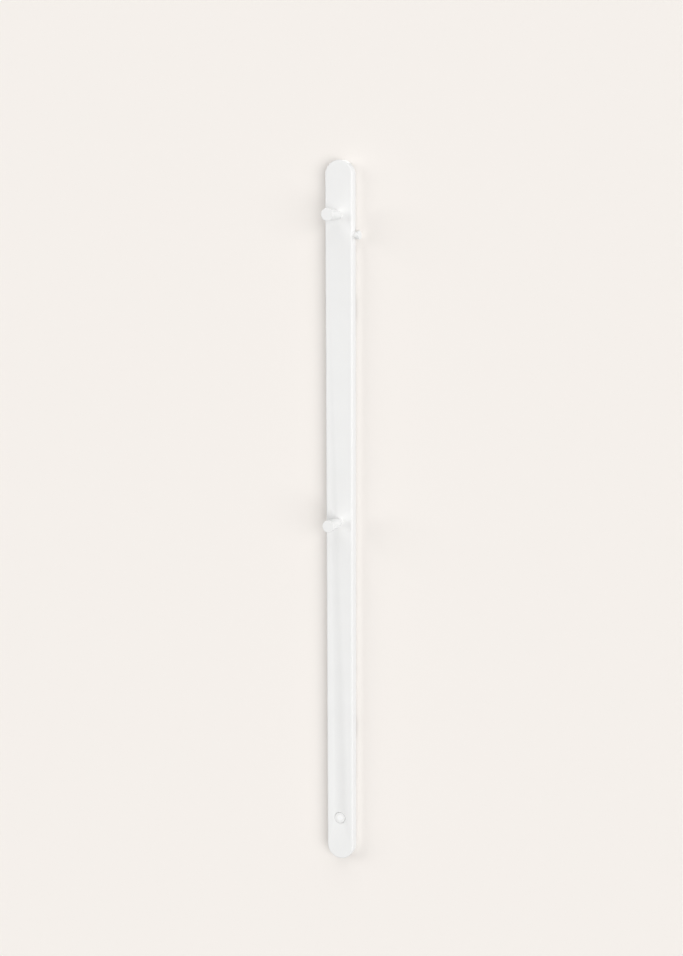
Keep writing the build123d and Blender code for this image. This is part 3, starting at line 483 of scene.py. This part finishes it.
def add(tree, kind, settings=None, links=None):
    """Adds one node with its settings, and links its inputs from other nodes' outputs."""
    node = tree.nodes.new(kind)
    for key, value in (settings or {}).items():
        if key in node.inputs:
            node.inputs[key].default_value = value
        else:
            setattr(node, key, value)
    for key, source in (links or {}).items():
        tree.links.new(source, node.inputs[key])
    return node


def finish(name, colour, roughness, metallic=0.0, ior=1.5, coat=0.0, specular=0.5):
    """A new material with one Principled shader, and its Object coordinates in millimetres."""
    material = bpy.data.materials.new(name)
    material.use_nodes = True
    tree = material.node_tree
    tree.nodes.clear()
    settings = {"Base Color": paint(colour), "Roughness": roughness, "Metallic": metallic}
    if not metallic:
        settings["IOR"] = ior
        settings["Specular IOR Level"] = specular
    if coat:
        settings["Coat Weight"] = coat
        settings["Coat Roughness"] = COAT_ROUGHNESS
    shader = add(tree, "ShaderNodeBsdfPrincipled", settings)
    add(tree, "ShaderNodeOutputMaterial", links={"Surface": shader.outputs[0]})
    place = add(tree, "ShaderNodeTexCoord").outputs["Object"]
    millimetres = add(tree, "ShaderNodeMapping", {"Scale": (1 / MM,) * 3}, {"Vector": place})
    return material, tree, shader, millimetres.outputs[0]


def noise(tree, where, size_mm, detail=2.0, stretch=(1, 1, 1)):
    """Smooth noise whose waves are about size_mm long, drawn out by stretch."""
    scale = [1 / (size_mm * s) for s in stretch]
    scaled = add(tree, "ShaderNodeMapping", {"Scale": scale}, {"Vector": where}).outputs[0]
    waves = add(tree, "ShaderNodeTexNoise", {"Scale": 1.0, "Detail": detail}, {"Vector": scaled})
    return waves.outputs["Fac"]


def vary_colour(tree, shader, factor, low, high):
    """Runs the base colour between two close shades."""
    ramp = add(tree, "ShaderNodeValToRGB", links={"Fac": factor})
    for stop, position, colour in zip(ramp.color_ramp.elements, SHADE_STOPS, (low, high)):
        stop.position = position
        stop.color = paint(colour)
    tree.links.new(ramp.outputs[0], shader.inputs["Base Color"])


def vary_roughness(tree, shader, factor, low, high):
    """Runs the roughness between two values as the factor goes from 0 to 1."""
    spread = add(tree, "ShaderNodeMapRange", {"To Min": low, "To Max": high}, {"Value": factor})
    tree.links.new(spread.outputs[0], shader.inputs["Roughness"])


def bump(tree, shader, height, depth_mm):
    """Raises the surface by up to depth_mm where height is 1."""
    relief = add(tree, "ShaderNodeBump", {"Distance": depth_mm * MM}, {"Height": height})
    tree.links.new(relief.outputs[0], shader.inputs["Normal"])


def powder_coat():
    """White polyester powder coat, sprayed and baked on aluminium.

    The melt leaves a soft orange peel about 1.6 mm across and a satin sheen that breaks up slightly.
    """
    material, tree, shader, where = finish("white_polyester_powder_coat", "F0F0EF", 0.4)
    peel = noise(tree, where, 1.6, detail=1.5)
    cloud = noise(tree, where, 70.0)
    vary_colour(tree, shader, cloud, "EFEFEE", "F1F1F0")
    vary_roughness(tree, shader, cloud, 0.37, 0.43)
    bump(tree, shader, peel, 0.022)
    return material


def moulded_white():
    """White ABS with a fine spark-eroded texture from the mould, a little shinier than the coat."""
    material, tree, shader, where = finish("white_abs_fine_moulded", "F0F0EF", 0.36)
    grain = noise(tree, where, 0.35)
    vary_colour(tree, shader, noise(tree, where, 9.0), "EEEEED", "F1F1F0")
    bump(tree, shader, grain, 0.006)
    return material


def opal_polycarbonate():
    """Opal polycarbonate, polished in the mould: milky, with some light passing under its skin."""
    material, tree, shader, where = finish("opal_polycarbonate_polished", "FBFBFA", 0.22, ior=1.58)
    shader.inputs["Subsurface Weight"].default_value = 0.25
    shader.inputs["Subsurface Radius"].default_value = (0.8, 0.8, 0.7)
    shader.inputs["Subsurface Scale"].default_value = MM
    vary_roughness(tree, shader, noise(tree, where, 3.0), 0.2, 0.26)
    return material


def galvanised_sheet():
    """Hot-dip galvanised steel sheet: grey zinc crystals, each catching the light its own way.

    The crystals are about 5 mm across, and noise pushes their borders to and fro by up to 1.6 mm.
    """
    crystal, ragged = 5, 1.6
    material, tree, shader, where = finish("galvanised_steel_sheet", "B6B9BB", 0.42, metallic=1.0)
    edges = add(tree, "ShaderNodeTexNoise", {"Scale": 0.6, "Detail": 2.0}, {"Vector": where})
    links = {0: edges.outputs["Color"], 2: where}
    frosted = add(tree, "ShaderNodeVectorMath", {"operation": "MULTIPLY_ADD"}, links)
    frosted.inputs[1].default_value = (ragged,) * 3
    scaled = add(tree, "ShaderNodeMapping", {"Scale": (1 / crystal,) * 3}, {"Vector": frosted.outputs[0]})
    cells = add(tree, "ShaderNodeTexVoronoi", {"Scale": 1.0}, {"Vector": scaled.outputs[0]})
    split = add(tree, "ShaderNodeSeparateColor", links={"Color": cells.outputs["Color"]})
    vary_colour(tree, shader, split.outputs[0], "AEB1B4", "BDC0C2")
    vary_roughness(tree, shader, split.outputs[1], 0.36, 0.50)
    bump(tree, shader, noise(tree, where, 0.8), 0.004)
    return material


def bright_zinc():
    """Bright zinc plating on turned steel: bluish silver with faint turning lines."""
    material, tree, shader, where = finish("bright_zinc_plate", "C9CDD2", 0.28, metallic=1.0)
    vary_roughness(tree, shader, noise(tree, where, 1.2), 0.22, 0.36)
    bump(tree, shader, noise(tree, where, 0.3, stretch=(1, 6, 1)), 0.003)
    return material


def mill_aluminium():
    """Mill-finish aluminium strip, rolled along the bar, so its fine scratches run lengthwise."""
    material, tree, shader, where = finish("mill_finish_aluminium", "D3D5D7", 0.34, metallic=1.0)
    lines = noise(tree, where, 0.5, detail=3.0, stretch=(1, 1, 60))
    vary_roughness(tree, shader, lines, 0.28, 0.44)
    bump(tree, shader, lines, 0.004)
    return material


def drawn_spring_wire():
    """Drawn spring steel: dark grey, with a sheen that the drawing leaves slightly uneven."""
    material, tree, shader, where = finish("drawn_spring_steel", "8E9093", 0.3, metallic=1.0)
    vary_roughness(tree, shader, noise(tree, where, 0.6), 0.24, 0.4)
    return material


def turned_brass():
    """Turned brass: warm yellow metal with fine tool rings."""
    material, tree, shader, where = finish("turned_brass", "C9A55A", 0.3, metallic=1.0)
    lines = noise(tree, where, 0.4, stretch=(1, 8, 1))
    vary_colour(tree, shader, lines, "BE9A50", "D2AF66")
    bump(tree, shader, lines, 0.003)
    return material


def moulded(name, colour, lighter, roughness, grain_mm, relief_mm):
    """A moulded plastic or rubber: a matt skin with an even grain from the tool and slight shade changes."""
    material, tree, shader, where = finish(name, colour, roughness)
    vary_colour(tree, shader, noise(tree, where, 12.0), colour, lighter)
    vary_roughness(tree, shader, noise(tree, where, 5.0), roughness - 0.05, roughness + 0.05)
    bump(tree, shader, noise(tree, where, grain_mm), relief_mm)
    return material


def open_foam():
    """Open-cell melamine foam: grey, with pores about 0.8 mm across cut open at the surface. Each pore is
    painted darker towards its hollow centre, as painted shade in the hollow.
    """
    pore = 0.8
    material, tree, shader, where = finish("melamine_foam_cut", "A5A8AA", 0.95, specular=0.2)
    scaled = add(tree, "ShaderNodeMapping", {"Scale": (1 / pore,) * 3}, {"Vector": where}).outputs[0]
    pore_depth_and_shade = add(tree, "ShaderNodeTexVoronoi", {"Scale": 1.0}, {"Vector": scaled}).outputs["Distance"]
    # Painted shade: the colour darkens towards each pore's centre, where the same pattern dents the surface.
    vary_colour(tree, shader, pore_depth_and_shade, "8F9294", "B2B5B7")
    bump(tree, shader, pore_depth_and_shade, 0.25)
    return material


def solder_resist():
    """Green solder resist over glass-epoxy board: glossy, over raised tracks 5 mm and 2.5 mm apart.

    The tracks are the joints of a brick pattern, whose bricks are half a unit long and a quarter high.
    """
    unit = 10
    material, tree, shader, where = finish("solder_resist_on_glass_epoxy", "1F6B3A", 0.3, coat=0.5)
    scaled = add(tree, "ShaderNodeMapping", {"Scale": (1 / unit,) * 3}, {"Vector": where}).outputs[0]
    tracks = add(tree, "ShaderNodeTexBrick", {"Scale": 1.0, "Mortar Size": 0.02}, {"Vector": scaled})
    vary_colour(tree, shader, noise(tree, where, 4.0), "1B6335", "247643")
    bump(tree, shader, tracks.outputs["Fac"], 0.03)
    return material


def materials_by_slot():
    """Every slot of the record, with the finish that its pieces take."""
    return {
        "zinc_screws": bright_zinc(),
        "brass": turned_brass(),
        "aluminium": mill_aluminium(),
        "white_powder_coat": powder_coat(),
        "white_button": moulded_white(),
        "opal_lens": opal_polycarbonate(),
        "galvanised_steel": galvanised_sheet(),
        "spring_steel": drawn_spring_wire(),
        "red_silicone": moulded("extruded_red_silicone", "8E2A22", "9C332A", 0.55, 0.9, 0.01),
        "grey_sleeve": moulded("grey_polyolefin_sleeve", "72767A", "7E8286", 0.5, 0.7, 0.01),
        "grey_foam": open_foam(),
        "black_nylon": moulded("black_glass_filled_nylon", "1B1B1D", "242427", 0.5, 0.5, 0.012),
        "white_nylon": moulded("natural_nylon_moulded", "DCDBD4", "E4E3DD", 0.45, 0.5, 0.01),
        "circuit_board": solder_resist(),
        "fuse_glass": moulded("glazed_fuse_ceramic", "DADCDC", "E3E5E5", 0.25, 1.5, 0.005),
        "led_epoxy": moulded("clear_led_epoxy", "EFEDE2", "F4F2E8", 0.15, 1.0, 0.002),
        "black_rubber": moulded("black_epdm_rubber", "19191A", "232324", 0.7, 0.6, 0.02),
        "brown_wire": moulded("brown_pvc_insulation", "5A3A22", "66452B", 0.45, 0.8, 0.006),
        "black_wire": moulded("black_pvc_insulation", "1A1A1B", "252526", 0.45, 0.8, 0.006),
        "green_wire": moulded("green_pvc_insulation", "3E7A2C", "4B8A36", 0.45, 0.8, 0.006),
    }


def dress(piece, material):
    """Gives a piece one material, whatever slots it had."""
    if piece.data.materials:
        for i in range(len(piece.data.materials)):
            piece.data.materials[i] = material
    else:
        piece.data.materials.append(material)


# Stage, lights and camera

def direction(azimuth, elevation):
    """A direction in degrees: azimuth from straight in front of the bar towards +X, then elevation."""
    turn, rise = math.radians(azimuth), math.radians(elevation)
    return np.array([math.sin(turn) * math.cos(rise), -math.cos(turn) * math.cos(rise), math.sin(rise)])


def stage_material(name, colour):
    """A plain matt wall or floor that shows from its front and is clear from behind.

    It is also clear to shadow, diffuse and glossy rays, so the bar's back and the gap to the wall are lit by
    the lamps and the room as if the wall and floor weren't there.
    """
    material, tree, shader, where = finish(name, colour, 0.9, specular=0.1)
    bump(tree, shader, noise(tree, where, 6.0), 0.05)
    side = add(tree, "ShaderNodeNewGeometry")
    clear_where = side.outputs["Backfacing"]
    path = add(tree, "ShaderNodeLightPath")
    for kind in ("Is Shadow Ray", "Is Diffuse Ray", "Is Glossy Ray"):
        links = {0: clear_where, 1: path.outputs[kind]}
        clear_where = add(tree, "ShaderNodeMath", {"operation": "MAXIMUM"}, links).outputs[0]
    clear = add(tree, "ShaderNodeBsdfTransparent")
    mix = add(tree, "ShaderNodeMixShader", links={0: clear_where, 1: shader.outputs[0], 2: clear.outputs[0]})
    output = next(node for node in tree.nodes if node.type == "OUTPUT_MATERIAL")
    tree.links.new(mix.outputs[0], output.inputs["Surface"])
    return material


def flat_stage(name, corners, material):
    """A flat four-cornered stage piece, its front the side its corners run anticlockwise on."""
    mesh = bpy.data.meshes.new(name)
    mesh.from_pydata(corners, [], [(0, 1, 2, 3)])
    piece = bpy.data.objects.new(name, mesh)
    bpy.context.collection.objects.link(piece)
    piece.data.materials.append(material)


def build_stage():
    """The wall just behind the brackets, and a pale floor well below the bar."""
    half = STAGE_HALF_WIDTH
    sides = ((-half, FLOOR_Z), (half, FLOOR_Z), (half, WALL_TOP), (-half, WALL_TOP))
    wall = [(x, WALL_Y, z) for x, z in sides]
    flat_stage("wall", wall, stage_material("matt_wall_paint", "F7F2ED"))
    floor = [(-half, -half, FLOOR_Z), (half, -half, FLOOR_Z), (half, half, FLOOR_Z), (-half, half, FLOOR_Z)]
    flat_stage("floor", floor, stage_material("pale_matt_floor", "F0ECE6"))


def soft_lamp(name, azimuth, elevation, share, spread):
    """A far, broad lamp in the direction of its azimuth and elevation, in degrees.

    Share is how bright it makes a white surface that faces it, where 1 is white, and spread is its width.
    """
    data = bpy.data.lights.new(name, "SUN")
    data.energy = share * math.pi
    data.angle = math.radians(spread)
    lamp = bpy.data.objects.new(name, data)
    bpy.context.collection.objects.link(lamp)
    lamp.rotation_euler = Vector(direction(azimuth, elevation)).to_track_quat("Z", "Y").to_euler()


def light_the_stage():
    """The broad lamps, and a world that gives the bar little light but is bright where it is seen."""
    for name, settings in LAMPS.items():
        soft_lamp(name, *settings)
    world = bpy.data.worlds.new("pale_room")
    bpy.context.scene.world = world
    world.use_nodes = True
    tree = world.node_tree
    tree.nodes.clear()
    path = add(tree, "ShaderNodeLightPath")
    rays = {0: path.outputs["Is Camera Ray"], 1: path.outputs["Is Glossy Ray"]}
    seen = add(tree, "ShaderNodeMath", {"operation": "MAXIMUM"}, rays)
    backdrop = add(tree, "ShaderNodeBackground", {"Color": paint("F7F2EC"), "Strength": BACKDROP_LIGHT})
    room = add(tree, "ShaderNodeBackground", {"Color": paint("FFFFFF"), "Strength": ROOM_LIGHT})
    links = {0: seen.outputs[0], 1: room.outputs[0], 2: backdrop.outputs[0]}
    mix = add(tree, "ShaderNodeMixShader", links=links)
    add(tree, "ShaderNodeOutputWorld", links={"Surface": mix.outputs[0]})


def place_camera():
    """The photograph's camera: its place, its aim as azimuth, pitch and roll, and its lens."""
    azimuth, roll = math.radians(CAMERA_AZIMUTH), math.radians(CAMERA_ROLL)
    right = np.array([math.cos(azimuth), math.sin(azimuth), 0])
    back = direction(CAMERA_AZIMUTH, CAMERA_PITCH)
    up = np.cross(back, right)
    rolled_right = right * math.cos(roll) + up * math.sin(roll)
    rolled_up = up * math.cos(roll) - right * math.sin(roll)
    data = bpy.data.cameras.new("camera")
    data.sensor_width = SENSOR
    data.lens = FOCAL_PIXELS / IMAGE_HEIGHT * SENSOR
    camera = bpy.data.objects.new("camera", data)
    bpy.context.collection.objects.link(camera)
    turn = Matrix(np.stack([rolled_right, rolled_up, back], axis=1).tolist()).to_4x4()
    camera.matrix_world = Matrix.Translation(CAMERA_PLACE) @ turn
    bpy.context.scene.camera = camera


# The bar

place_camera()
build_stage()
light_the_stage()
bpy.context.scene.view_settings.view_transform = "Standard"

finishes = materials_by_slot()
for part in frame["record"]["subparts"]:
    dress(frame["nodes"][part["node"]], finishes[part["material_slot"]])

spring = return_spring()
new_pieces = [
    (bar_body(), "bar", "white_powder_coat", "body_shell"),
    (front_peg("upper_peg_turned", UPPER_PEG_Z), "bar", "white_powder_coat", "upper_peg"),
    (front_peg("middle_peg_turned", MIDDLE_PEG_Z), "bar", "white_powder_coat", "middle_peg"),
    (short_side_peg(), "bar", "white_powder_coat", "side_peg"),
    (push_button(), "button", "white_button", "button_cap"),
    (opal_disc(), "button", "opal_lens", "button_lens"),
    (spring, "bar", "spring_steel", "button_spring"),
    (closing_screws(), "bar", "zinc_screws", "back_plate_screws"),
    (cover_screws(), "bar", "zinc_screws", "terminal_cover_screws"),
    (rubber_grommet(), "bar", "black_rubber", "cable_grommet"),
]
for piece, body, slot_name, node in new_pieces:
    dress(piece, finishes[slot_name])
    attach(piece, body)
    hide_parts(node)
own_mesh(spring)
